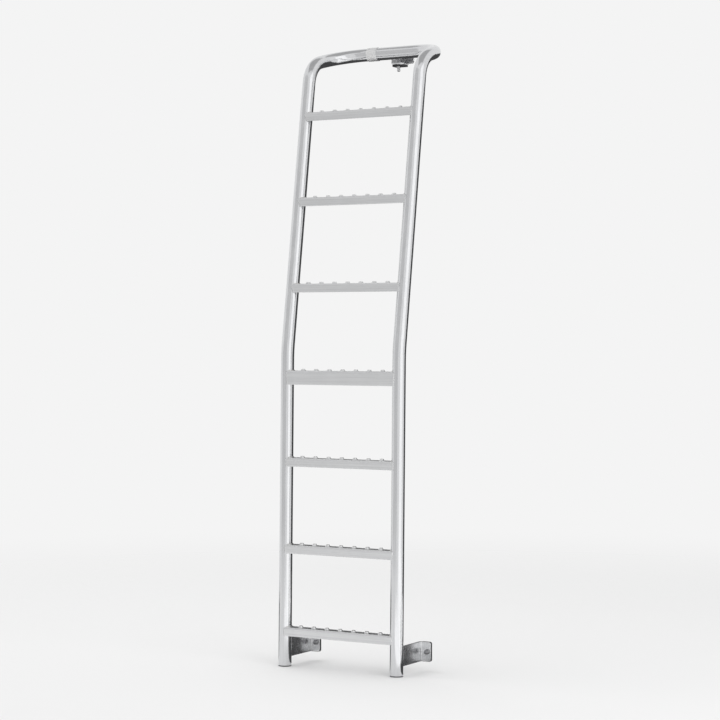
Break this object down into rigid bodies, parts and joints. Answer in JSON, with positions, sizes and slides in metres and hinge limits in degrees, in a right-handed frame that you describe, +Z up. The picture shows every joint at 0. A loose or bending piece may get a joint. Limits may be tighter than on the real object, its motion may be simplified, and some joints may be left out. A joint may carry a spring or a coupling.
{
  "type": "vehicle door ladder",
  "caption": "Van rear door ladder: bent tube rails joined in a loop at the top, folded studded treads, a hook bracket above and plate brackets at the foot.",
  "frame": {"origin": "underside of the top bracket's rubber pad, where the ladder stands on the door, midway between the stud's hole and the bracket's lip", "axes": "+Z up, +Y forward to the door, +X to the right of someone climbing"},
  "size_m": [0.343, 0.3098, 1.4445],
  "materials": {
    "rail_steel": "polished",
    "tread_steel": "satin",
    "bracket_steel": "satin",
    "pad_rubber": "matt",
    "plug_plastic": "matt"
  },
  "bodies": {
    "root": {"left_rail": "rail_steel", "left_plug": "plug_plastic", "left_door_bracket": "bracket_steel", "left_door_pad": "pad_rubber", "right_rail": "rail_steel", "right_plug": "plug_plastic", "right_door_bracket": "bracket_steel", "right_door_pad": "pad_rubber", "tread_1": "tread_steel", "tread_2": "tread_steel", "tread_3": "tread_steel", "tread_4": "tread_steel", "tread_5": "tread_steel", "tread_6": "tread_steel", "tread_7": "tread_steel", "joint_sleeve": "bracket_steel", "top_bracket": "bracket_steel", "top_pad": "pad_rubber"}
  },
  "joints": []
}
